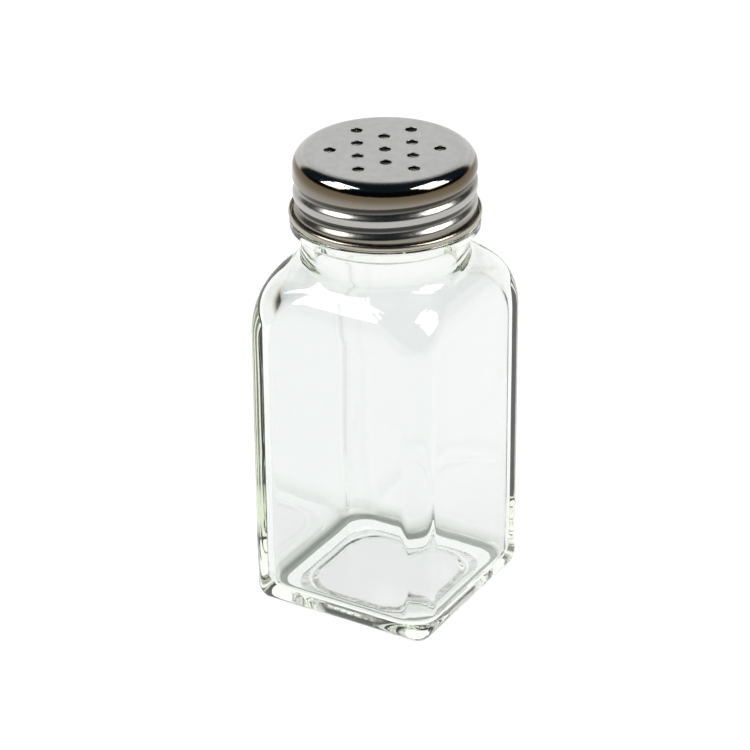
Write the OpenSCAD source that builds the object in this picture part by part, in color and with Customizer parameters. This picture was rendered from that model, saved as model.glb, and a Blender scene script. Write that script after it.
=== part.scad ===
// Square glass spice shaker with a screw-on perforated metal cap.
// Millimetres, +Z up, origin on the jar's axis at the surface it stands on.

/* [Jar body] */
// Width across the flat sides
body_w = 44; // [42:0.5:50]
// Radius of the upright corners
corner_r = 4; // [3:0.5:6]
// Width of the heel's curve, from the side in to the base
heel_w = 2.2; // [1.4:0.2:2.6]
// Height of the heel's curve
heel_h = 3.8; // [2:0.2:4.4]
// Thickness of the side walls
wall = 2.4; // [2:0.1:3]
// Thickness of the base
base_t = 2.8; // [2.4:0.2:5]
// Depth of the hollow under the base
push_up = 0.8; // [0.4:0.1:1]

/* [Shoulders and neck] */
// Height at which the corners start to draw in
shoulder_z = 64.6; // [60:0.2:66]
// Height at which the flat sides start to draw in
side_top_z = 70.5; // [68:0.5:72]
// Height at which the shoulders meet the neck
neck_z = 79; // [78:0.5:80]
// Radius of the plain neck below the cap
neck_r = 18; // [17.8:0.1:18.4]
// Radius of the bead under the cap
bead_r = 20.3; // [20:0.1:20.8]
// Radius of the neck's bore
bore_r = 15.3; // [14:0.1:15.6]

/* [Screw thread] */
// Rise of the thread in one turn, six turns to the inch
pitch = 4.233; // [4:0.001:4.3]
// Radius at the root of the glass thread
thread_root_r = 17.55; // [17.4:0.05:17.6]
// Radius at the crest of the glass thread
thread_crest_r = 18.75; // [18.6:0.05:18.8]

/* [Cap] */
// Outer radius of the cap's skirt
cap_r = 19.5; // [19.5:0.1:19.8]
// Radius of the rounded edge round the cap's top
cap_edge_r = 3.3; // [2.5:0.1:3.5]
// Thickness of the sheet
sheet = 0.3; // [0.25:0.05:0.35]
// Depth of the rolled groove that forms the cap's thread
groove_depth = 0.9; // [0.8:0.05:1]
// Diameter of each sprinkling hole
hole_d = 2.5; // [1.5:0.1:3]
// Distance between neighbouring holes
hole_step = 6.67; // [6:0.1:7]

/* [Hidden] */
$fn = 96;

// Heights up the neck and the cap
cap_top_z = 104.4;
rim_z = 103.8;
bead_bottom_z = 87.4;
bead_top_z = 89.6;
hem_bottom_z = 89.8;
hem_top_z = 91.5;
hem_curl_r = 0.65;
dome_low_z = 100.2;
body_gap = 0.02;

// Direction, in degrees about +Z, in which the groove passes front_groove_z
front_angle = -59.4;
front_groove_z = 93.9;
groove_start = front_angle - 130;
groove_end = front_angle + 470;
groove_fade = 40;
groove_half_w = 1.7;
groove_edge_fade = 0.6;
hole_turn = 31.75;

// The glass ridge rests on the cap's inward ridge
ridge_above_groove = 1.6;
ridge_start = 0;
ridge_turns = 1.4;
ridge_fade = 25;
ridge_base_half = 1.05;
ridge_crest_half = 0.4;

half_w = body_w / 2;
inner_half_w = half_w - wall;
root2 = sqrt(2);

// The hollow's corners are rounder towards the floor, where the glass is heavier
floor_r = 2.5;
floor_corner_r = 6;
fillet_corner_r = 4.5;
inner_corner_r = 4;
inner_corner_z = 12;

// Hollow under the base
hollow_half_w = 13.2;
hollow_corner_r = 8;

// The shoulder curves into the neck over this height
blend_h = 3.8;
blend_start = 0.8;

corner_steps = 8;
curve_steps = 12;
blend_steps = 6;
round_steps = 5;
lower_wall_steps = 4;

// Rounded square at height z: w is the half width, r the corner radius
function ring(w, r, z) = [
    for (q = [0:3], i = [0:corner_steps])
        let (a = 90 * (q + i / corner_steps), sx = (q == 0 || q == 3) ? 1 : -1, sy = q < 2 ? 1 : -1)
            [sx * (w - r) + r * cos(a), sy * (w - r) + r * sin(a), z]
];

// Superellipse quarter: 1 at s = 0, down to 0 at s = 1
function quarter(s, n) = pow(max(0, 1 - pow(min(1, max(0, s)), n)), 1 / n);

// Shoulder from a rounded square (half width w0, half diagonal d0) in to the radius rn.
// The flats draw in from height zs, the corners from height zc, and both would be done at height zn.
function flat_at(z, w0, rn, zs, zn) = rn + (w0 - rn) * quarter((z - zs) / (zn - zs), 1.7);
function diagonal_at(z, d0, rn, zc, zn) = rn + (d0 - rn) * quarter((z - zc) / (zn - zc), 2.1);

// Rounded square with half width w and half diagonal d; nearly a circle where they are equal
function drawn_ring(w, d, z) = ring(w, min((w * root2 - d) / (root2 - 1), w - 0.2), z);

function bezier(a, b, c, t) = pow(1 - t, 2) * a + 2 * t * (1 - t) * b + t * t * c;

// Rings up the shoulder, then a curve that turns upright into the neck
function shoulder_rings(w0, r0, rn, zc, zs, zn) =
    let (
        d0 = (w0 - r0) * root2 + r0,
        leave = zn - blend_start,
        w = flat_at(leave, w0, rn, zs, zn),
        d = diagonal_at(leave, d0, rn, zc, zn),
        step = 0.05,
        rise_w = (w - rn) * step / (flat_at(leave - step, w0, rn, zs, zn) - w),
        rise_d = (d - rn) * step / (diagonal_at(leave - step, d0, rn, zc, zn) - d),
        bend = leave + (rise_w + rise_d) / 2
    )
    concat(
        [for (i = [0:curve_steps])
            let (z = zc + (leave - zc) * sin(90 * i / curve_steps))
                drawn_ring(flat_at(z, w0, rn, zs, zn), diagonal_at(z, d0, rn, zc, zn), z)],
        [for (i = [1:blend_steps])
            let (t = i / blend_steps)
                drawn_ring(
                    bezier(w, rn, rn, t),
                    bezier(d, rn, rn, t),
                    bezier(leave, bend, leave + blend_h, t)
                )]
    );

// Rings up the heel, a quarter of an ellipse
function heel_rings() = [
    for (i = [0:round_steps])
        let (a = 90 * i / round_steps, in = heel_w * (1 - sin(a)))
            ring(half_w - in, corner_r - in, body_gap + heel_h * (1 - cos(a)))
];

// Rings up the edge of the hollow's floor
function floor_rings() = [
    for (i = [0:round_steps])
        let (a = 90 * i / round_steps, out = sin(a))
            ring(
                inner_half_w - floor_r * (1 - out),
                floor_corner_r + (fillet_corner_r - floor_corner_r) * out,
                base_t + floor_r * (1 - cos(a))
            )
];

// Rings up the lower part of the hollow, where its corners tighten
function lower_wall_rings() =
    let (z0 = base_t + floor_r)
    [for (i = [1:lower_wall_steps])
        let (t = i / lower_wall_steps, s = t * t * (3 - 2 * t))
            ring(
                inner_half_w,
                fillet_corner_r + (inner_corner_r - fillet_corner_r) * s,
                z0 + (inner_corner_z - z0) * t
            )
    ];

// Closed solid through a list of rings, lowest first
module loft(rings) {
    n = len(rings[0]);
    last = len(rings) - 1;
    polyhedron(
        points = [for (level = rings) each level],
        faces = concat(
            [[for (i = [0:n - 1]) i]],
            [for (k = [0:last - 1], i = [0:n - 1])
                let (j = (i + 1) % n)
                    [k * n + i, (k + 1) * n + i, (k + 1) * n + j, k * n + j]],
            [[for (i = [n - 1:-1:0]) last * n + i]]
        )
    );
}

// Flat plate from z = 0 up to t: w is its half width, r its corner radius
module rounded_plate(w, r, t) {
    linear_extrude(t)
        union() {
            square([2 * w, 2 * (w - r)], center = true);
            square([2 * (w - r), 2 * w], center = true);
            for (sx = [-1, 1], sy = [-1, 1])
                translate([sx * (w - r), sy * (w - r)]) circle(r);
        }
}

// Outside of the neck: plain neck, bead, thread root and rounded rim
module neck_outside() {
    rim_round = 1;
    rotate_extrude()
        union() {
            polygon([
                [0, neck_z - 2], [neck_r, neck_z - 2], [neck_r, bead_bottom_z - 1.3],
                [neck_r + 0.35, bead_bottom_z - 0.5], [neck_r + 1.2, bead_bottom_z - 0.1],
                [bead_r - 0.3, bead_bottom_z], [bead_r, bead_bottom_z + 0.4], [bead_r, bead_top_z - 0.6],
                [bead_r - 0.5, bead_top_z], [thread_root_r + 1, bead_top_z + 0.15],
                [thread_root_r, bead_top_z + 0.7], [thread_root_r, rim_z - rim_round],
                [thread_root_r - rim_round, rim_z], [0, rim_z]
            ]);
            translate([thread_root_r - rim_round, rim_z - rim_round]) circle(rim_round);
        }
}

// Point on the glass ridge: a is the angle, side runs 0 to 3 round the ridge's profile
function ridge_point(a, side) =
    let (
        travel = a - ridge_start,
        total = 360 * ridge_turns,
        grow = min(1, travel / ridge_fade, (total - travel) / ridge_fade),
        z = front_groove_z + pitch * (a - front_angle) / 360 + ridge_above_groove,
        buried_r = thread_root_r - 0.4,
        r = (side == 0 || side == 3) ? buried_r : buried_r + (thread_crest_r - buried_r) * max(0.05, grow),
        half = (side == 0 || side == 3) ? ridge_base_half : ridge_crest_half,
        up = side < 2 ? -half : half
    )
    [r * cos(a), r * sin(a), z + up];

module glass_ridge() {
    steps = 84;
    polyhedron(
        points = [
            for (k = [0:steps], side = [0:3])
                ridge_point(ridge_start + 360 * ridge_turns * k / steps, side)
        ],
        faces = concat(
            [[3, 2, 1, 0]],
            [for (k = [0:steps - 1], s = [0:3])
                let (t = (s + 1) % 4)
                    [4 * k + s, 4 * k + t, 4 * (k + 1) + t, 4 * (k + 1) + s]],
            [[4 * steps, 4 * steps + 1, 4 * steps + 2, 4 * steps + 3]]
        )
    );
}

module jar() {
    inner_neck_z = neck_z - wall;
    foot_inset = heel_w + 0.1;
    foot_corner_r = corner_r - heel_w + 0.2;
    foot_t = 1.5;
    color([0.86, 0.93, 0.9, 0.35])
        difference() {
            union() {
                loft(concat(
                    heel_rings(),
                    shoulder_rings(half_w, corner_r, neck_r - 0.05, shoulder_z, side_top_z, neck_z)
                ));
                rounded_plate(half_w - foot_inset, foot_corner_r, foot_t);
                neck_outside();
                glass_ridge();
            }
            translate([0, 0, -1]) rounded_plate(hollow_half_w, hollow_corner_r, 1 + push_up);
            loft(concat(
                floor_rings(),
                lower_wall_rings(),
                shoulder_rings(inner_half_w, inner_corner_r, bore_r - 0.05,
                    shoulder_z - 1, side_top_z - 1.5, inner_neck_z)
            ));
            translate([0, 0, inner_neck_z - 1]) cylinder(r = bore_r, h = cap_top_z);
        }
}

// How much of the groove's depth there is at angle a and height z
function groove(a, z) =
    let (
        off = z - (front_groove_z + pitch * (a - front_angle) / 360),
        inside = max(0, min(z - hem_top_z, dome_low_z - z)) / groove_edge_fade,
        ramp = min(1, inside, (a - groove_start) / groove_fade, (groove_end - a) / groove_fade)
    )
    (ramp <= 0 || abs(off) >= groove_half_w) ? 0 : ramp * (1 + cos(180 * off / groove_half_w)) / 2;

// Outer radius of the skirt at angle a and height z
function skirt_r(a, z) =
    let (
        turns = [floor((groove_start - a) / 360) : ceil((groove_end - a) / 360)],
        cut = max([for (k = turns) groove(a + 360 * k, z)])
    )
    cap_r - 0.03 - groove_depth * cut;

// Skirt of the cap, from the hem up into the dome, with the helical groove rolled in
module threaded_skirt(z_low, z_high) {
    around = 72;
    levels = 20;
    n = around * 2;
    thin = sheet - 0.06;
    polyhedron(
        points = [
            for (k = [0:levels], side = [0, 1], i = [0:around - 1])
                let (
                    a = 360 * i / around,
                    z = z_low + (z_high - z_low) * k / levels,
                    r = skirt_r(a, z) - side * thin
                )
                [r * cos(a), r * sin(a), z]
        ],
        faces = concat(
            [for (k = [0:levels - 1], i = [0:around - 1])
                let (j = (i + 1) % around)
                    [k * n + i, (k + 1) * n + i, (k + 1) * n + j, k * n + j]],
            [for (k = [0:levels - 1], i = [0:around - 1])
                let (j = (i + 1) % around, o = around)
                    [k * n + o + i, k * n + o + j, (k + 1) * n + o + j, (k + 1) * n + o + i]],
            [for (i = [0:around - 1])
                let (j = (i + 1) % around)
                    [i, j, around + j, around + i]],
            [for (i = [0:around - 1])
                let (j = (i + 1) % around, t = levels * n)
                    [t + i, t + around + i, t + around + j, t + j]]
        )
    );
}

// Outline of the dome: flat top, rounded edge and straight side down to z_low
module dome_outline(r, top, edge_r, z_low) {
    translate([0, z_low]) square([r, top - edge_r - z_low]);
    translate([0, z_low]) square([r - edge_r, top - z_low]);
    translate([r - edge_r, top - edge_r]) intersection() {
        circle(edge_r);
        square(edge_r);
    }
}

// Centres of the sprinkling holes: one, a ring of six and an outer ring of six
module at_holes() {
    children();
    for (k = [0:5]) {
        rotate(60 * k) translate([0, hole_step, 0]) children();
        rotate(60 * k + 30) translate([0, hole_step * sqrt(3), 0]) children();
    }
}

module cap_shell() {
    color([0.72, 0.71, 0.7])
        union() {
            difference() {
                rotate_extrude()
                    difference() {
                        dome_outline(cap_r, cap_top_z, cap_edge_r, dome_low_z);
                        dome_outline(cap_r - sheet, cap_top_z - sheet, cap_edge_r - sheet, dome_low_z);
                    }
                translate([0, 0, cap_top_z - 1])
                    rotate(hole_turn) at_holes() cylinder(d = hole_d, h = 2, $fn = 32);
            }
            threaded_skirt(hem_top_z + body_gap, dome_low_z + 0.4);
        }
}

// Outline with two round ends, from height z0 up to z1 about the radius c
module upright_slot(c, r, z0, z1) {
    translate([c, z0 + r]) circle(r);
    translate([c, z1 - r]) circle(r);
    translate([c - r, z0 + r]) square([2 * r, z1 - z0 - 2 * r]);
}

// Curled lower edge of the cap: an oval tube that hangs from the skirt
module cap_hem() {
    curl_centre_r = cap_r - sheet + hem_curl_r;
    color([0.75, 0.74, 0.73])
        rotate_extrude()
            difference() {
                union() {
                    upright_slot(curl_centre_r, hem_curl_r, hem_bottom_z, hem_top_z);
                    translate([cap_r - sheet, hem_top_z - 1]) square([sheet, 1]);
                }
                upright_slot(curl_centre_r, hem_curl_r - sheet, hem_bottom_z + sheet, hem_top_z - sheet);
            }
}

jar();
cap_shell();
cap_hem();
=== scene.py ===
import math

import bmesh
import bpy
from mathutils import Matrix, Vector
from mathutils.geometry import delaunay_2d_cdt


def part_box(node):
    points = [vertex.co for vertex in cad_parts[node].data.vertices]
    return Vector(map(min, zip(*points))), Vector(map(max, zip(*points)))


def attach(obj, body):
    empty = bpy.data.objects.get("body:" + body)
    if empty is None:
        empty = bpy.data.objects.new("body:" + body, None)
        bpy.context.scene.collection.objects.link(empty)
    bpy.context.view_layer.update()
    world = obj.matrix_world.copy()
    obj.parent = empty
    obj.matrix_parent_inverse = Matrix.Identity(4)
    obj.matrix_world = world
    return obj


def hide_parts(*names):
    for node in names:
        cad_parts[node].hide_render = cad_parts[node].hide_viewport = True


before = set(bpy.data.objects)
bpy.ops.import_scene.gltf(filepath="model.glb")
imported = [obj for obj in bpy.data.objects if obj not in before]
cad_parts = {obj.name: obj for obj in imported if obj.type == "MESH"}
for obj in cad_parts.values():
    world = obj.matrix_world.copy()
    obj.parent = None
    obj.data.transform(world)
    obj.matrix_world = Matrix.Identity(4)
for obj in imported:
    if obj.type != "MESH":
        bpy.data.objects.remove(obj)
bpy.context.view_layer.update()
MM = 0.001

# ---------------------------------------------------------------- sizes in mm, angles in degrees
jar_low, jar_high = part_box("jar")
cap_low, cap_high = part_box("cap_shell")
hem_low, hem_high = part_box("cap_hem")

HALF_W = (jar_high.x - jar_low.x) / 2 / MM
RIM_Z = jar_high.z / MM
CAP_TOP_Z = cap_high.z / MM
CAP_R = (cap_high.x - cap_low.x) / 2 / MM
HEM_R = (hem_high.x - hem_low.x) / 2 / MM
HEM_LOW_Z = hem_low.z / MM

# jar: outside
CORNER_R = 4.0
HEEL_W, HEEL_H = 2.2, 3.8
SHOULDER_Z = 64.6
SIDE_TOP_Z = 70.5
SIDE_POWER, CORNER_POWER = 1.7, 2.1
NECK_Z = 79.0
NECK_R = 18.0
BLEND_START = 0.8
OUTER_BLEND_END, INNER_BLEND_END = 3.0, 3.2
BEAD_R = 20.3
BEAD_LOW_Z, BEAD_TOP_Z = 87.4, 89.6
BEAD_LOW_EDGE_R, BEAD_TOP_EDGE_R = 0.5, 0.7
BEAD_UNDERCUT_R = 1.2

# jar: underside
HOLLOW_W = 13.2
HOLLOW_CORNER_R = 8.0
PUSH_UP = 0.8
HOLLOW_DOME = 0.2
STEP_IN, STEP_OUT, STEP_TOP = 0.6, 0.9, 1.03
RIB_H = 0.28

# jar: inside
WALL = 2.4
BASE_T = 2.8
BORE_R = 15.3
INNER_CORNER_R = 4.0
FLOOR_R = 2.5
FLOOR_CORNER_R = 6.0
FILLET_CORNER_R = 4.5
CORNER_CHANGE_TOP_Z = 12.0

# thread
PITCH = 4.233
ROOT_R, CREST_R = 17.55, 18.75
FRONT_ANGLE = -59.4
GROOVE_Z = 93.9
GROOVE_DEPTH = 0.9
GROOVE_HALF_W = 1.7
GROOVE_START, GROOVE_END, GROOVE_FADE = FRONT_ANGLE - 130, FRONT_ANGLE + 470, 40.0
RIDGE_ABOVE_GROOVE = 1.6
RIDGE_HALF_W, RIDGE_FLANK = 1.0, 0.6
RIDGE_START, RIDGE_TURNS, RIDGE_FADE = 0.0, 1.4, 25.0

# cap
SHEET = 0.3
CAP_EDGE_R = 3.3
FLAT_R = CAP_R - CAP_EDGE_R - 0.15
SKIRT_LOW_Z, SKIRT_TOP_Z = 91.0, 100.6
HOLE_R = 1.25
HOLE_LIP_R = 0.12
HOLE_STEP = 6.67
HOLE_TURN = 31.75
MOUTH_R = HOLE_R + HOLE_LIP_R + 0.08
COLLAR_R = HOLE_R + 0.12
COLLAR_DEPTH = 0.8
CURL_H = 1.7
CURL_END = 420
CREASE_UP, CREASE_HALF, CREASE_DEPTH = 0.62, 0.16, 0.22

# numbers of points and rings
AROUND = 288
CORNER_DENSITY = 0.72
SHOULDER_STEPS, BLEND_STEPS = 26, 10
THREAD_STEPS = 56
CAP_AROUND = 240
HOLE_AROUND = 40
SKIRT_STEPS = 52
CURL_STEPS = 72

ROOT2 = math.sqrt(2)


# ---------------------------------------------------------------- mesh helpers
def add_object(name, verts, faces, material, body):
    mesh = bpy.data.meshes.new(name)
    mesh.from_pydata([(x * MM, y * MM, z * MM) for x, y, z in verts], [], faces)
    mesh.validate()
    tidy = bmesh.new()
    tidy.from_mesh(mesh)
    bmesh.ops.remove_doubles(tidy, verts=tidy.verts, dist=1e-7)
    bmesh.ops.recalc_face_normals(tidy, faces=tidy.faces)
    tidy.to_mesh(mesh)
    tidy.free()
    mesh.shade_smooth()
    obj = bpy.data.objects.new(name, mesh)
    bpy.context.scene.collection.objects.link(obj)
    mesh.materials.append(material)
    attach(obj, body)
    return obj


def sweep_rings(rings, closed=False):
    """Vertices and faces of a skin through rings of equally many points, with open or closed ends."""
    n = len(rings[0])
    verts = [p for ring in rings for p in ring]
    faces = []
    for k in range(len(rings) - 1):
        for i in range(n):
            j = (i + 1) % n
            faces.append((k * n + i, k * n + j, (k + 1) * n + j, (k + 1) * n + i))
    if closed:
        for first, level in ((0, rings[0]), ((len(rings) - 1) * n, rings[-1])):
            hub = len(verts)
            verts.append((0.0, 0.0, sum(p[2] for p in level) / n))
            faces += [(first + i, first + (i + 1) % n, hub) for i in range(n)]
    return verts, faces


def ease(t):
    """Smooth change from 0 to 1 as t goes from 0 to 1."""
    t = min(1.0, max(0.0, t))
    return t * t * (3 - 2 * t)


def bezier2(a, b, c, t):
    return (1 - t) ** 2 * a + 2 * t * (1 - t) * b + t * t * c


def arc(cx, cz, r, start, end, steps):
    """Points (radius, height) on an arc, angles in degrees from +radius towards +height."""
    out = []
    for i in range(steps + 1):
        a = math.radians(start + (end - start) * i / steps)
        out.append((cx + r * math.cos(a), cz + r * math.sin(a)))
    return out


# ---------------------------------------------------------------- glass jar
def around_angles():
    """Angles round the jar, closer together at the four corners."""
    out = []
    for i in range(AROUND):
        u = 2 * math.pi * i / AROUND
        out.append(u + CORNER_DENSITY / 4 * math.sin(4 * u))
    return out


ANGLES = around_angles()


def square_radius(angle, w, r):
    """Distance from the axis to a rounded square of half width w and corner radius r."""
    fold = angle % (math.pi / 2)
    if fold > math.pi / 4:
        fold = math.pi / 2 - fold
    c = w - r
    if c <= 0 or w * math.tan(fold) <= c:
        return w / math.cos(fold) if c > 0 else w
    b = c * (math.cos(fold) + math.sin(fold))
    return b + math.sqrt(max(0.0, b * b - 2 * c * c + r * r))


def ring(w, r, z, lift=None):
    out = []
    for i, a in enumerate(ANGLES):
        rho = square_radius(a, w, r)
        out.append((rho * math.cos(a), rho * math.sin(a), z + (lift(i) if lift else 0.0)))
    return out


def quarter(s, n):
    """Superellipse quarter: 1 at s = 0, down to 0 at s = 1."""
    s = min(1.0, max(0.0, s))
    return max(0.0, 1 - s ** n) ** (1 / n)


class Shoulder:
    """The draw-in from a rounded square to a round neck, for the outside or the inside of the glass."""

    def __init__(self, w0, r0, rn, corner_z, side_z, neck_z):
        self.w0, self.rn = w0, rn
        self.diag0 = (w0 - r0) * ROOT2 + r0
        self.corner_z, self.side_z, self.neck_z = corner_z, side_z, neck_z

    def section(self, z):
        """Half width and half diagonal at height z."""
        up = (z - self.side_z) / (self.neck_z - self.side_z)
        w = self.rn + (self.w0 - self.rn) * quarter(up, SIDE_POWER)
        up = (z - self.corner_z) / (self.neck_z - self.corner_z)
        d = self.rn + (self.diag0 - self.rn) * quarter(up, CORNER_POWER)
        return w, d

    def ring(self, w, d, z):
        r = (w * ROOT2 - d) / (ROOT2 - 1)
        return ring(w, min(r, w), z)

    def rings(self, leave, blend_top):
        """Rings up to height leave, then a blend into the neck that ends upright at blend_top."""
        out = []
        for i in range(SHOULDER_STEPS + 1):
            z = self.corner_z + (leave - self.corner_z) * math.sin(math.pi / 2 * i / SHOULDER_STEPS)
            out.append(self.ring(*self.section(z), z))
        w, d = self.section(leave)
        below_w, below_d = self.section(leave - 0.05)
        bend_w = leave + (w - self.rn) / ((below_w - w) / 0.05)
        bend_d = leave + (d - self.rn) / ((below_d - d) / 0.05)
        bend = (bend_w + bend_d) / 2
        for i in range(1, BLEND_STEPS + 1):
            t = i / BLEND_STEPS
            out.append(self.ring(
                bezier2(w, self.rn, self.rn, t),
                bezier2(d, self.rn, self.rn, t),
                bezier2(leave, bend, blend_top, t),
            ))
        return out


def ridge_height(angle, z):
    """How far the glass thread stands out at an angle in radians and a height, from 0 to 1."""
    best = 0.0
    degrees = math.degrees(angle)
    for turn in range(0, 4):
        a = degrees + 360 * turn
        travel, total = a - RIDGE_START, 360 * RIDGE_TURNS
        if travel <= 0 or travel >= total:
            continue
        grow = min(1.0, travel / RIDGE_FADE, (total - travel) / RIDGE_FADE)
        middle = GROOVE_Z + PITCH * (a - FRONT_ANGLE) / 360 + RIDGE_ABOVE_GROOVE
        best = max(best, grow * ease((RIDGE_HALF_W - abs(z - middle)) / RIDGE_FLANK))
    return best


def thread_ring(z):
    out = []
    for a in ANGLES:
        rho = ROOT_R + (CREST_R - ROOT_R) * ridge_height(a, z)
        out.append((rho * math.cos(a), rho * math.sin(a), z))
    return out


def ribs(i):
    """Height, at the i-th angle, of the small radial ribs pressed into the ring that the jar stands on."""
    return RIB_H if i % 2 == 0 else 0.0


def inner_corner(z, low_z):
    """Corner radius of the hollow at height z: the glass is heavier in the corners near the floor."""
    t = (z - low_z) / (CORNER_CHANGE_TOP_Z - low_z)
    return FILLET_CORNER_R + (INNER_CORNER_R - FILLET_CORNER_R) * ease(t)


def underside_rings():
    """The domed hollow, its rounded step, the ribbed ring, the flat that takes the weight, and the heel."""
    rings = []
    for f in (0.15, 0.4, 0.65, 0.85):
        rings.append(ring(HOLLOW_W * f, HOLLOW_CORNER_R * f, PUSH_UP * (1 + HOLLOW_DOME * (1 - f))))
    for t in (0.0, 0.2, 0.4, 0.6, 0.8, 1.0):
        w = HOLLOW_W - STEP_IN + (STEP_IN + STEP_OUT) * t
        rings.append(ring(w, HOLLOW_CORNER_R, PUSH_UP * STEP_TOP * (1 - ease(t))))
    low_w, stand_w = HOLLOW_W + STEP_OUT, HALF_W - HEEL_W
    stand_corner_r = CORNER_R - HEEL_W
    for f in (0.02, 0.07, 0.14, 0.21, 0.26, 0.6):
        corner = HOLLOW_CORNER_R + (stand_corner_r - HOLLOW_CORNER_R) * f
        rings.append(ring(low_w + (stand_w - low_w) * f, corner, 0.0, ribs if 0.05 < f < 0.22 else None))
    for out, rise in arc(0, 1, 1, -90, 0, 10):
        rings.append(ring(stand_w + HEEL_W * out, stand_corner_r + HEEL_W * out, HEEL_H * rise))
    return rings


def body_rings():
    """The flat sides and the shoulder, up to the neck."""
    rings = []
    for i in range(1, 24):
        rings.append(ring(HALF_W, CORNER_R, HEEL_H + (SHOULDER_Z - HEEL_H) * i / 24))
    outside = Shoulder(HALF_W, CORNER_R, NECK_R, SHOULDER_Z, SIDE_TOP_Z, NECK_Z)
    return rings + outside.rings(NECK_Z - BLEND_START, NECK_Z + OUTER_BLEND_END)


def neck_rings():
    """The neck, the bead, the threaded part and the rounded rim."""
    profile = [(NECK_R, z) for z in (83.0, 84.0, 85.0)]
    under, low, top = BEAD_UNDERCUT_R, BEAD_LOW_EDGE_R, BEAD_TOP_EDGE_R
    profile += arc(NECK_R + under, BEAD_LOW_Z - 0.15 - under, under, 180, 95, 7)
    profile += arc(BEAD_R - low, BEAD_LOW_Z + low, low, -85, 0, 7)
    profile += [(BEAD_R, BEAD_LOW_Z + 1.1)]
    profile += arc(BEAD_R - top, BEAD_TOP_Z - top, top, 0, 70, 6)
    profile += [(18.6, BEAD_TOP_Z + 0.32), (ROOT_R + 0.3, BEAD_TOP_Z + 0.6), (ROOT_R, BEAD_TOP_Z + 0.9)]
    rings = [ring(r, r, z) for r, z in profile]
    thread_low, thread_top = BEAD_TOP_Z + 1.2, 102.6
    for i in range(THREAD_STEPS + 1):
        rings.append(thread_ring(thread_low + (thread_top - thread_low) * i / THREAD_STEPS))
    rim_r = (ROOT_R - BORE_R) / 2
    rings += [ring(r, r, z) for r, z in arc(BORE_R + rim_r, RIM_Z - rim_r, rim_r, 0, 180, 14)]
    return rings


def inside_rings():
    """The bore, the inside of the shoulder, the walls, and the floor with its fillet, from the top down."""
    inner_w, inner_neck_z = HALF_W - WALL, NECK_Z - WALL
    bore_top, bore_low = RIM_Z - (ROOT_R - BORE_R) / 2, inner_neck_z + INNER_BLEND_END
    rings = [ring(BORE_R, BORE_R, bore_top + (bore_low - bore_top) * i / 10) for i in range(1, 10)]
    walls_top, floor_top = SHOULDER_Z - 1, BASE_T + FLOOR_R
    inside = Shoulder(inner_w, INNER_CORNER_R, BORE_R, walls_top, SIDE_TOP_Z - 1.5, inner_neck_z)
    rings += inside.rings(inner_neck_z - BLEND_START, bore_low)[::-1]
    for i in range(1, 40):
        z = walls_top + (floor_top - walls_top) * i / 40
        rings.append(ring(inner_w, inner_corner(z, floor_top), z))
    for rho, z in arc(0, floor_top, FLOOR_R, 0, -90, 14):
        corner = FLOOR_CORNER_R + (FILLET_CORNER_R - FLOOR_CORNER_R) * rho / FLOOR_R
        rings.append(ring(inner_w - FLOOR_R + rho, corner, z))
    for f in (0.8, 0.6, 0.4, 0.2):
        rings.append(ring((inner_w - FLOOR_R) * f, FLOOR_CORNER_R * f, BASE_T))
    return rings


def make_jar(material):
    rings = underside_rings() + body_rings() + neck_rings() + inside_rings()
    verts, faces = sweep_rings(rings, closed=True)
    jar = add_object("glass_jar", verts, faces, material, "jar")
    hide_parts("jar")


# ---------------------------------------------------------------- steel cap
def circle(r, z, n=CAP_AROUND, cx=0.0, cy=0.0):
    turns = [2 * math.pi * i / n for i in range(n)]
    return [(cx + r * math.cos(a), cy + r * math.sin(a), z) for a in turns]


def groove(degrees, z):
    """Depth of the rolled groove at an angle and a height, from 0 to 1."""
    best = 0.0
    for turn in range(-2, 3):
        a = degrees + 360 * turn
        ramp = min(1.0, (a - GROOVE_START) / GROOVE_FADE, (GROOVE_END - a) / GROOVE_FADE)
        if ramp <= 0:
            continue
        off = abs(z - (GROOVE_Z + PITCH * (a - FRONT_ANGLE) / 360))
        if off < GROOVE_HALF_W:
            best = max(best, ramp * (1 + math.cos(math.pi * off / GROOVE_HALF_W)) / 2)
    return best


def skirt_ring(z, inset):
    out = []
    for i in range(CAP_AROUND):
        a = 360 * i / CAP_AROUND
        r = CAP_R - inset - GROOVE_DEPTH * groove(a, z)
        out.append((r * math.cos(math.radians(a)), r * math.sin(math.radians(a)), z))
    return out


def hole_centres():
    centres = [(0.0, 0.0)]
    for k in range(6):
        for spin, reach in ((60 * k + 90, HOLE_STEP), (60 * k + 120, HOLE_STEP * math.sqrt(3))):
            a = math.radians(spin + HOLE_TURN)
            centres.append((reach * math.cos(a), reach * math.sin(a)))
    return centres


def flat_with_holes(z, hole_r):
    """A flat disc at height z with the sprinkling holes left open."""
    centres = hole_centres()
    points = [Vector(p[:2]) for p in circle(FLAT_R, z)]
    loops = [list(range(len(points)))]
    for cx, cy in centres:
        first = len(points)
        points += [Vector(p[:2]) for p in circle(hole_r, z, HOLE_AROUND, cx, cy)][::-1]
        loops.append(list(range(first, first + HOLE_AROUND)))
    edges = [(loop[i], loop[(i + 1) % len(loop)]) for loop in loops for i in range(len(loop))]
    out_points, _, tris, _, _, _ = delaunay_2d_cdt(points, edges, [loops[0]], 1, 1e-5)
    verts = [(p.x, p.y, z) for p in out_points]
    kept = []
    for tri in tris:
        mx = sum(out_points[i].x for i in tri) / len(tri)
        my = sum(out_points[i].y for i in tri) / len(tri)
        if all(math.hypot(mx - cx, my - cy) > hole_r * 0.98 for cx, cy in centres):
            kept.append(tuple(tri))
    return verts, kept


def join(parts):
    verts, faces = [], []
    for part_verts, part_faces in parts:
        first = len(verts)
        verts += part_verts
        faces += [tuple(first + i for i in f) for f in part_faces]
    return verts, faces


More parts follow.
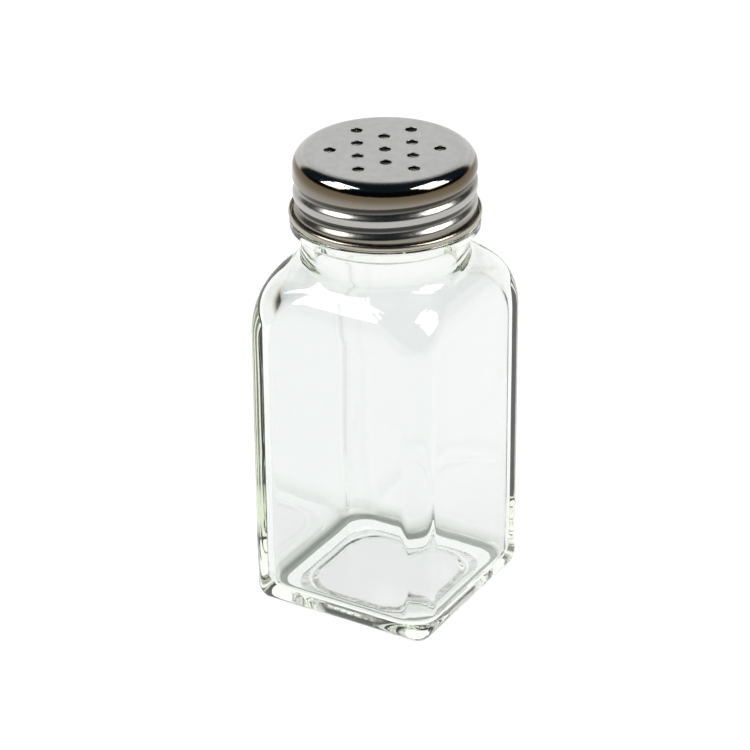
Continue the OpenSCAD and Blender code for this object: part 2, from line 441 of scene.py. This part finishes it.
def cap_skin(inset):
    """One skin of the cap's sheet, this far inside the outer one, from the skirt up to the flat top."""
    levels = [SKIRT_LOW_Z + (SKIRT_TOP_Z - SKIRT_LOW_Z) * i / SKIRT_STEPS for i in range(SKIRT_STEPS + 1)]
    rings = [skirt_ring(z, inset) for z in levels]
    edge = arc(CAP_R - CAP_EDGE_R, CAP_TOP_Z - CAP_EDGE_R, CAP_EDGE_R - inset, 0, 90, 24)
    rings += [circle(r, z) for r, z in edge]
    rings.append(circle(FLAT_R, CAP_TOP_Z - inset))
    return rings


def punched_collar(cx, cy):
    """The wall of one hole: a rounded lip, then a short collar that stands down inside the cap."""
    profile = [(MOUTH_R, CAP_TOP_Z)]
    profile += arc(HOLE_R + HOLE_LIP_R, CAP_TOP_Z - HOLE_LIP_R, HOLE_LIP_R, 90, 180, 5)
    profile += [(HOLE_R, CAP_TOP_Z - SHEET), (HOLE_R - 0.04, CAP_TOP_Z - COLLAR_DEPTH)]
    profile += [(HOLE_R + 0.04, CAP_TOP_Z - COLLAR_DEPTH), (COLLAR_R, CAP_TOP_Z - SHEET)]
    return sweep_rings([circle(r, z, HOLE_AROUND, cx, cy) for r, z in profile])


def make_cap(material):
    outer, inner = cap_skin(0.0), cap_skin(SHEET)
    parts = [
        sweep_rings(outer),
        sweep_rings(inner),
        sweep_rings([outer[0], inner[0]]),
        flat_with_holes(CAP_TOP_Z, MOUTH_R),
        flat_with_holes(CAP_TOP_Z - SHEET, COLLAR_R),
    ]
    parts += [punched_collar(cx, cy) for cx, cy in hole_centres()]
    verts, faces = join(parts)
    cap = add_object("cap_dome", verts, faces, material, "cap")
    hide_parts("cap_shell")


def curl_path():
    """Middle of the curled sheet: down, under, out and back up past a crease, with a gap left open."""
    half = SHEET / 2
    wall_r, out_r = CAP_R - half, HEM_R - half
    mid_r, reach = (wall_r + out_r) / 2, (out_r - wall_r) / 2
    mid_z, rise = HEM_LOW_Z + CURL_H / 2, CURL_H / 2 - half
    path = [(wall_r, SKIRT_LOW_Z - 0.02)]
    for i in range(CURL_STEPS + 1):
        a = math.radians(180 + (CURL_END - 180) * i / CURL_STEPS)
        x, z = mid_r + reach * math.cos(a), mid_z + rise * math.sin(a)
        off = abs(z - HEM_LOW_Z - CREASE_UP) / CREASE_HALF
        if x > mid_r and off < 1:
            x -= CREASE_DEPTH * (1 + math.cos(math.pi * off)) / 2
        path.append((x, z))
    return path


def thicken(path):
    """The closed outline of a sheet whose middle follows a path."""
    outline = []
    last = len(path) - 1
    for side, order in ((1, range(last + 1)), (-1, range(last, -1, -1))):
        for k in order:
            a, b = path[max(0, k - 1)], path[min(last, k + 1)]
            dx, dz = b[0] - a[0], b[1] - a[1]
            shift = side * SHEET / 2 / math.hypot(dx, dz)
            outline.append((path[k][0] + dz * shift, path[k][1] - dx * shift))
    return outline + outline[:1]


def make_hem(material):
    verts, faces = sweep_rings([circle(r, z) for r, z in thicken(curl_path())])
    hem = add_object("cap_curled_hem", verts, faces, material, "hem")
    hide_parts("cap_hem")


# ---------------------------------------------------------------- materials
class Tree:
    """A node tree, with the few kinds of node that this scene uses."""

    def __init__(self, owner, output_kind):
        owner.use_nodes = True
        self.nodes, self.links = owner.node_tree.nodes, owner.node_tree.links
        self.nodes.clear()
        self.output = self.add(output_kind)

    def add(self, kind, **sockets):
        node = self.nodes.new(kind)
        for name, value in sockets.items():
            self.feed(node.inputs[name], value)
        return node

    def feed(self, socket, value):
        """Link a node's output to a socket, or set the socket to a number or a colour."""
        if isinstance(value, bpy.types.NodeSocket):
            self.links.new(value, socket)
        elif isinstance(value, tuple):
            socket.default_value = (*value, 1)
        else:
            socket.default_value = value

    def split(self, where):
        return self.add("ShaderNodeSeparateXYZ", Vector=where).outputs

    def noise(self, where, scale, detail):
        return self.add("ShaderNodeTexNoise", Vector=where, Scale=scale, Detail=detail).outputs["Fac"]

    def fade(self, value, start, end, at_start=0.0, at_end=1.0):
        """Move smoothly from one value to another as the input goes from start to end."""
        node = self.add("ShaderNodeMapRange")
        node.interpolation_type = "SMOOTHSTEP"
        node.inputs["From Min"].default_value = start
        node.inputs["From Max"].default_value = end
        node.inputs["To Min"].default_value = at_start
        node.inputs["To Max"].default_value = at_end
        self.feed(node.inputs["Value"], value)
        return node.outputs["Result"]

    def band(self, value, low, full_low, full_high, high):
        """1 between two distances in mm, fading to 0 at the outer pair."""
        rise = self.fade(value, low * MM, full_low * MM)
        fall = self.fade(value, full_high * MM, high * MM, 1.0, 0.0)
        return self.product(rise, fall)

    def math(self, operation, a, b=0.0):
        node = self.add("ShaderNodeMath")
        node.operation = operation
        self.feed(node.inputs[0], a)
        self.feed(node.inputs[1], b)
        return node.outputs["Value"]

    def product(self, first, *others):
        for other in others:
            first = self.math("MULTIPLY", first, other)
        return first

    def paint(self, under, over, mask):
        """Lay one colour over another where the mask is 1."""
        node = self.add("ShaderNodeMix")
        node.data_type = "RGBA"
        self.feed(node.inputs["A"], under)
        self.feed(node.inputs["B"], over)
        self.feed(node.inputs["Factor"], mask)
        return node.outputs["Result"]

    def bump(self, height, strength, distance, shader):
        node = self.add("ShaderNodeBump", Strength=strength, Distance=distance, Height=height)
        self.links.new(node.outputs["Normal"], shader.inputs["Normal"])

    def past_square(self, where, w, r):
        """How far a point lies outside a rounded square of half width w and corner radius r in mm."""
        squares = []
        for axis in ("X", "Y"):
            size = self.math("ABSOLUTE", where[axis])
            over = self.math("MAXIMUM", self.math("SUBTRACT", size, (w - r) * MM), 0.0)
            squares.append(self.product(over, over))
        reach = self.math("SQRT", self.math("ADD", *squares))
        return self.math("SUBTRACT", reach, r * MM)


def new_material(name):
    """A material, its tree, its principled shader and the place on the object."""
    material = bpy.data.materials.new(name)
    tree = Tree(material, "ShaderNodeOutputMaterial")
    shader = tree.add("ShaderNodeBsdfPrincipled")
    tree.links.new(shader.outputs["BSDF"], tree.output.inputs["Surface"])
    where = tree.add("ShaderNodeTexCoord").outputs["Object"]
    return material, tree, shader, where


# tints of the glass surface, and painted shade on its floor and underside, with the places of the tinted
# and shaded zones in mm
CLEAR = (0.905, 0.915, 0.918)
CLEAR_NECK = (0.96, 0.965, 0.955)
FLOOR_BORDER_SHADE = (0.77, 0.79, 0.76)
FLOOR_CORNER = (0.06, 0.08, 0.06)
HOLLOW_STEP_SHADE = (0.11, 0.11, 0.06)
FLOOR_LEVEL = (BASE_T - 1.3, BASE_T - 1.0, BASE_T + 2.0, BASE_T + 3.0)
FLOOR_TINT_CORNER_R = 5.0
CORNER_ZONE = (-0.1, 0.2, 1.5, 2.6)
STEP_ZONE = (-0.5, -0.1, 0.7, 1.3)
WAVE_SCALE, STEP_PATCH_SCALE = 55.0, 900.0


def glass_material():
    material, tree, shader, where = new_material("clear_glass")
    shader.inputs["Transmission Weight"].default_value = 1.0
    shader.inputs["Roughness"].default_value = 0.0
    shader.inputs["IOR"].default_value = 1.52
    tree.bump(tree.noise(where, WAVE_SCALE, 1.0), 0.35, 0.0006, shader)
    xyz = tree.split(where)
    height = xyz["Z"]
    colour = tree.paint(CLEAR, CLEAR_NECK, tree.fade(height, (NECK_Z + 1.0) * MM, (NECK_Z + 6.0) * MM))
    # painted shade: the floor's border a little darker, and the corner where it turns up into the walls
    # much darker
    floor_level = tree.band(height, *FLOOR_LEVEL)
    from_flat = tree.past_square(xyz, HALF_W - WALL - FLOOR_R, FLOOR_TINT_CORNER_R)
    border_shade = tree.product(floor_level, tree.fade(from_flat, -3.2 * MM, -2.4 * MM))
    colour = tree.paint(colour, FLOOR_BORDER_SHADE, border_shade)
    corner = tree.product(floor_level, tree.band(from_flat, *CORNER_ZONE))
    colour = tree.paint(colour, FLOOR_CORNER, corner)
    # painted shade: the broken olive line along the step of the hollow underneath
    from_step = tree.past_square(xyz, HOLLOW_W, HOLLOW_CORNER_R)
    below = tree.fade(height, 1.0 * MM, 1.4 * MM, 1.0, 0.0)
    patches = tree.fade(tree.noise(where, STEP_PATCH_SCALE, 3.0), 0.35, 0.65, 0.45, 1.0)
    step = tree.product(tree.band(from_step, *STEP_ZONE), below, patches)
    colour = tree.paint(colour, HOLLOW_STEP_SHADE, step)
    tree.links.new(colour, shader.inputs["Base Color"])
    volume = tree.add("ShaderNodeVolumeAbsorption")
    volume.inputs["Color"].default_value = (0.55, 0.70, 0.25, 1)
    volume.inputs["Density"].default_value = 9.0
    tree.links.new(volume.outputs["Volume"], tree.output.inputs["Volume"])
    return material


# tones of the steel, with the heights in mm between which each fades in and out: the top's tone is painted
# light, the hem's a painted warm reflection, and the side, edge, low, groove and hole tones are painted
# shade
STEEL_DARKER, STEEL_LIGHTER = (0.40, 0.39, 0.375), (0.46, 0.45, 0.435)
TOP_PAINTED_LIGHT, TOP_LIGHT_ZONE = (0.57, 0.585, 0.57), (103.8, 104.3, 106.0, 107.0)
SIDE_PAINTED_SHADE, SIDE_SHADE_ZONE = (0.255, 0.235, 0.20), (97.0, 98.6, 102.6, 103.2)
EDGE_PAINTED_SHADE, EDGE_SHADE_ZONE = (0.13, 0.10, 0.065), (99.4, 101.6, 102.8, 103.3)
LOW_PAINTED_SHADE, LOW_SHADE_ZONE = (0.25, 0.24, 0.20), (90.9, 91.2, 92.5, 93.3)
HEM_WARM_REFLECTION, HEM_REFLECTION_ZONE = (0.42, 0.39, 0.33), (88.0, 89.0, 91.2, 91.8)
GROOVE_SHADE_TONE, GROOVE_SHADE_ZONE = (0.085, 0.085, 0.075), (91.7, 92.2, 99.2, 100.2)
HOLE_SHADE_TONE, HOLE_SHADE_ZONE = (0.015, 0.014, 0.012), (102.0, 102.6, CAP_TOP_Z - 0.22, CAP_TOP_Z - 0.06)
CLOUD_SCALE, SPECKLE_SCALE, GRAIN_SCALE = 90.0, 520.0, 1400.0
POLISHED, SATIN_TOP, SATIN_SIDE, GRAIN = 0.07, 0.27, 0.17, 0.12


def groove_painted_shade(tree, xyz):
    """1 in the upper half of the rolled groove, all along its helix, where a dark line of painted shade
    goes.
    """
    climb = tree.product(tree.math("ARCTAN2", xyz["Y"], xyz["X"]), PITCH * MM / (2 * math.pi))
    start = (GROOVE_Z - PITCH * FRONT_ANGLE / 360 - PITCH / 2) * MM
    along = tree.math("SUBTRACT", tree.math("SUBTRACT", xyz["Z"], climb), start)
    in_pitch = tree.math("FLOORED_MODULO", along, PITCH * MM)
    middle = PITCH / 2
    upper = tree.band(in_pitch, middle - 0.5, middle + 0.1, middle + 0.9, middle + 1.5)
    return tree.product(upper, tree.band(xyz["Z"], *GROOVE_SHADE_ZONE))


def hole_painted_shade(tree, where, height):
    """1 on the walls of the holes and on the underside of the cap's flat top, where near-black painted
    shade goes.
    """
    flat = tree.add("ShaderNodeVectorMath")
    flat.operation = "MULTIPLY"
    flat.inputs[1].default_value = (1.0, 1.0, 0.0)
    tree.links.new(where, flat.inputs[0])
    radius = tree.add("ShaderNodeVectorMath")
    radius.operation = "LENGTH"
    tree.links.new(flat.outputs["Vector"], radius.inputs[0])
    middle = tree.fade(radius.outputs["Value"], 14.5 * MM, 15.5 * MM, 1.0, 0.0)
    return tree.product(tree.band(height, *HOLE_SHADE_ZONE), middle)


def steel_roughness(tree, height, fine):
    """Satin on the flat top and on the skirt, polished on the rounded edge between them."""
    top = tree.fade(height, (CAP_TOP_Z - 0.5) * MM, (CAP_TOP_Z - 0.05) * MM)
    side = tree.fade(height, 99.6 * MM, 100.8 * MM, 1.0, 0.0)
    satin = tree.math("MAXIMUM", tree.product(top, SATIN_TOP), tree.product(side, SATIN_SIDE))
    grain = tree.product(tree.math("SUBTRACT", fine, 0.5), GRAIN)
    return tree.math("ADD", tree.math("ADD", satin, POLISHED), grain)


def steel_material():
    material, tree, shader, where = new_material("stamped_steel")
    xyz = tree.split(where)
    height = xyz["Z"]
    plain = tree.paint(STEEL_DARKER, STEEL_LIGHTER, tree.noise(where, CLOUD_SCALE, 3.0))
    speckle_and_painted_light = tree.paint(plain, TOP_PAINTED_LIGHT, tree.noise(where, SPECKLE_SCALE, 6.0))
    # painted shade: the skirt darker and brown-grey
    colour = tree.paint(plain, SIDE_PAINTED_SHADE, tree.band(height, *SIDE_SHADE_ZONE))
    # painted shade: a dark brown band on the rounded edge below the top
    colour = tree.paint(colour, EDGE_PAINTED_SHADE, tree.band(height, *EDGE_SHADE_ZONE))
    # painted light: the flat top lighter than the rest of the steel, with a fine speckle
    colour = tree.paint(colour, speckle_and_painted_light, tree.band(height, *TOP_LIGHT_ZONE))
    # painted shade: the lowest ridge of the skirt darker, just above the hem
    colour = tree.paint(colour, LOW_PAINTED_SHADE, tree.band(height, *LOW_SHADE_ZONE))
    # painted warm reflection: the curled hem in a warmer tone
    colour = tree.paint(colour, HEM_WARM_REFLECTION, tree.band(height, *HEM_REFLECTION_ZONE))
    # painted shade: a dark line in the upper half of the groove
    colour = tree.paint(colour, GROOVE_SHADE_TONE, groove_painted_shade(tree, xyz))
    # painted shade: near black in the holes and under the flat top
    colour = tree.paint(colour, HOLE_SHADE_TONE, hole_painted_shade(tree, where, height))
    tree.links.new(colour, shader.inputs["Base Color"])
    shader.inputs["Metallic"].default_value = 1.0
    fine = tree.noise(where, GRAIN_SCALE, 3.0)
    tree.links.new(steel_roughness(tree, height, fine), shader.inputs["Roughness"])
    tree.bump(fine, 0.25, 0.00004, shader)
    return material


FLOOR_DARKER, FLOOR_LIGHTER = (0.24, 0.24, 0.24), (0.26, 0.26, 0.26)
FLOOR_CLOUD_SCALE = 3.0


def floor_material():
    material, tree, shader, where = new_material("pale_floor")
    tone = tree.paint(FLOOR_DARKER, FLOOR_LIGHTER, tree.noise(where, FLOOR_CLOUD_SCALE, 2.0))
    tree.links.new(tone, shader.inputs["Base Color"])
    shader.inputs["Roughness"].default_value = 0.9
    shader.inputs["Emission Color"].default_value = (1, 1, 1, 1)
    shader.inputs["Emission Strength"].default_value = 0.90
    return material


# ---------------------------------------------------------------- stage, light and camera
VIEW_AZIMUTH = 30.56
LENS = 157.64
CAMERA_PLACE = (0.319416, -0.541239, 0.383060)
CAMERA_FORWARD = (-0.452357, 0.759709, -0.467135)
CAMERA_RIGHT = (0.861079, 0.508422, -0.006985)

# heights and facing in the surroundings are those of the direction looked in, from -1 to 1
WALL_LIGHT = (1.0, 1.0, 1.0, 1)
CEILING_EDGE, CEILING_EDGE_AT = (0.16, 0.115, 0.05, 1), 0.72
CEILING_DARK = (0.010, 0.018, 0.024, 1)
WALL_TOP = (0.08, 0.28)
BACK_WALL = (-0.74, -0.56)
BACK_WALL_TOP = (0.86, 0.93)

# name, azimuth and elevation in degrees, width and height in metres, watts
WINDOWS = (
    ("window_left", -76, 42, 0.54, 0.42, 4.4),
    ("window_left_top", -76, 60, 0.54, 0.12, 1.3),
    ("window_right", 74, 41, 0.58, 0.42, 5.0),
    ("window_right_top", 74, 59, 0.58, 0.12, 1.4),
)
WINDOW_DISTANCE = 1.1
WINDOWS_FACE = (0, 0, 0.06)


def make_floor():
    bpy.ops.mesh.primitive_plane_add(size=8.0, location=(0, 0, 0))
    floor = bpy.context.object
    floor.name = "floor"
    floor.data.materials.append(floor_material())


def make_world():
    """A studio: pale all round near the horizon and behind, dark above and in front of the object."""
    world = bpy.data.worlds.new("studio")
    bpy.context.scene.world = world
    tree = Tree(world, "ShaderNodeOutputWorld")
    where = tree.add("ShaderNodeTexCoord").outputs["Generated"]
    height = tree.split(where)["Z"]
    facing = tree.add("ShaderNodeVectorMath")
    facing.operation = "DOT_PRODUCT"
    a = math.radians(VIEW_AZIMUTH)
    facing.inputs[1].default_value = (math.sin(a), -math.cos(a), 0.0)
    tree.links.new(where, facing.inputs[0])
    above = tree.fade(height, *WALL_TOP)
    behind = tree.fade(facing.outputs["Value"], *BACK_WALL, 1.0, 0.0)
    lit = tree.product(behind, tree.fade(height, *BACK_WALL_TOP, 1.0, 0.0))
    dark = tree.product(above, tree.math("SUBTRACT", 1.0, lit))
    shade = tree.add("ShaderNodeValToRGB")
    ramp = shade.color_ramp.elements
    ramp[0].color = WALL_LIGHT
    ramp[1].color = CEILING_DARK
    ramp.new(CEILING_EDGE_AT).color = CEILING_EDGE
    tree.links.new(dark, shade.inputs["Fac"])
    background = tree.add("ShaderNodeBackground")
    tree.links.new(shade.outputs["Color"], background.inputs["Color"])
    tree.links.new(background.outputs["Background"], tree.output.inputs["Surface"])


def add_window(name, azimuth, elevation, width, height, watts):
    """A soft window at an azimuth measured from the camera's side and an elevation, both in degrees."""
    a = math.radians(VIEW_AZIMUTH + azimuth)
    e = math.radians(elevation)
    data = bpy.data.lights.new(name, "AREA")
    data.shape = "RECTANGLE"
    data.size, data.size_y = width, height
    data.energy = watts
    lamp = bpy.data.objects.new(name, data)
    way = Vector((math.sin(a) * math.cos(e), -math.cos(a) * math.cos(e), math.sin(e)))
    lamp.location = way * WINDOW_DISTANCE + Vector(WINDOWS_FACE)
    lamp.rotation_euler = (-way).to_track_quat("-Z", "Y").to_euler()
    bpy.context.scene.collection.objects.link(lamp)


def make_camera():
    data = bpy.data.cameras.new("camera")
    data.sensor_width = 36.0
    data.lens = LENS
    camera = bpy.data.objects.new("camera", data)
    place, forward, right = Vector(CAMERA_PLACE), Vector(CAMERA_FORWARD), Vector(CAMERA_RIGHT)
    up = right.cross(forward)
    camera.matrix_world = Matrix((
        (right.x, up.x, -forward.x, place.x),
        (right.y, up.y, -forward.y, place.y),
        (right.z, up.z, -forward.z, place.z),
        (0, 0, 0, 1),
    ))
    data.clip_start, data.clip_end = 0.01, 50.0
    bpy.context.scene.collection.objects.link(camera)
    bpy.context.scene.camera = camera


make_camera()
make_floor()
make_world()
for window in WINDOWS:
    add_window(*window)
steel = steel_material()
make_jar(glass_material())
make_cap(steel)
make_hem(steel)
scene = bpy.context.scene
scene.view_settings.view_transform = "Standard"
scene.cycles.max_bounces = 24
scene.cycles.transmission_bounces = 24
scene.cycles.glossy_bounces = 8
scene.cycles.transparent_max_bounces = 16
